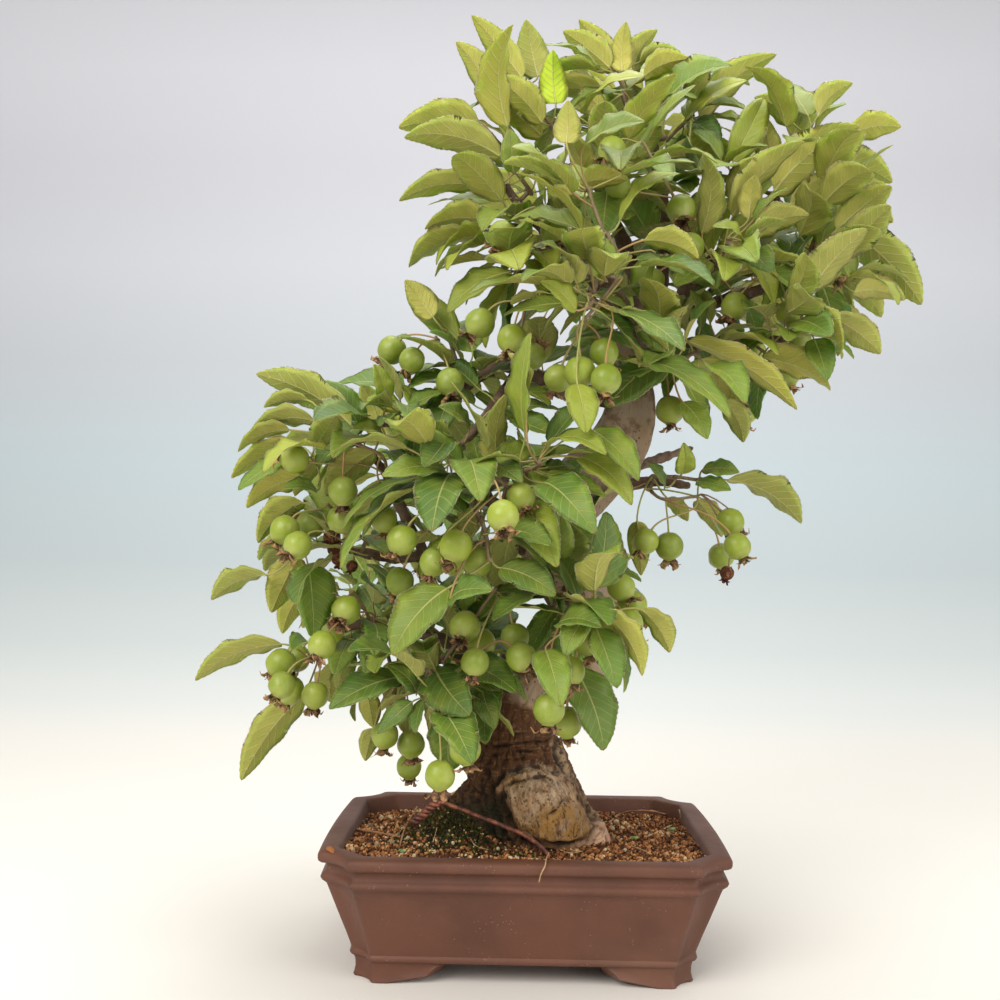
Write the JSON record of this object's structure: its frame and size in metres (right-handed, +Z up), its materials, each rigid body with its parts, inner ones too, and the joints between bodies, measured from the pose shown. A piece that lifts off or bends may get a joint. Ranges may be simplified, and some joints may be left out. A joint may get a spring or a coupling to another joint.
{
  "type": "hall crabapple bonsai",
  "caption": "Fruiting hall crabapple bonsai with a swollen, S-curved trunk and drooping leafy sprays, in a rectangular unglazed pot.",
  "frame": {"origin": "bottom centre of the whole tree's box, on the surface that the pot stands on", "axes": "+X along the pot's length, to the right as the picture shows it; +Y to the back, away from the viewer; +Z up"},
  "size_m": [0.494, 0.3334, 0.641],
  "materials": {
    "pot": "matte unglazed brown stoneware",
    "soil": "baked clay granules with moss",
    "bark": "grey-brown bark, flaking at the base",
    "leaf": "green leaves, satin above and downy below",
    "fruit": "smooth green fruit skin",
    "wire": "copper-brown anodised wire, weathered",
    "screen": "black mesh"
  },
  "bodies": {
    "root": {"pot": "pot", "drain_screen": "screen", "soil": "soil", "anchor_wire": "wire", "trunk_and_branches": "bark", "fruits_back_crown": "fruit", "fruits_back_left": "fruit", "fruits_back_right": "fruit", "fruits_crown_left": "fruit", "fruits_crown_top": "fruit", "fruits_far_left": "fruit", "fruits_far_upper_left": "fruit", "fruits_front_centre": "fruit", "fruits_front_crown": "fruit", "fruits_front_left": "fruit", "fruits_left": "fruit", "fruits_left_high": "fruit", "fruits_left_low": "fruit", "fruits_low_left": "fruit", "fruits_low_middle": "fruit", "fruits_low_right": "fruit", "fruits_right_arm": "fruit", "fruits_right_front": "fruit", "fruits_right_low": "fruit", "fruits_right_spray": "fruit", "fruits_under_crown": "fruit", "fruits_upper_left": "fruit", "spray_back_crown": "leaf", "spray_back_left": "leaf", "spray_back_low": "leaf", "spray_back_right": "leaf", "spray_back_top": "leaf", "spray_crown_front": "leaf", "spray_crown_front_high": "leaf", "spray_crown_left": "leaf", "spray_crown_left_high": "leaf", "spray_crown_left_low": "leaf", "spray_crown_middle": "leaf", "spray_crown_right_high": "leaf", "spray_front_centre": "leaf", "spray_front_left": "leaf", "spray_front_low": "leaf", "spray_front_low_left": "leaf", "spray_front_low_right": "leaf", "spray_front_middle": "leaf", "spray_front_right": "leaf", "spray_front_right_high": "leaf", "spray_left_far": "leaf", "spray_left_high": "leaf", "spray_left_low": "leaf", "spray_left_middle": "leaf", "spray_right_end": "leaf", "spray_right_high": "leaf", "spray_right_low": "leaf", "spray_right_spray": "leaf", "spray_right_top": "leaf", "spray_round_left": "leaf", "spray_top_left": "leaf", "spray_top_middle": "leaf", "spray_top_right": "leaf"}
  },
  "joints": []
}
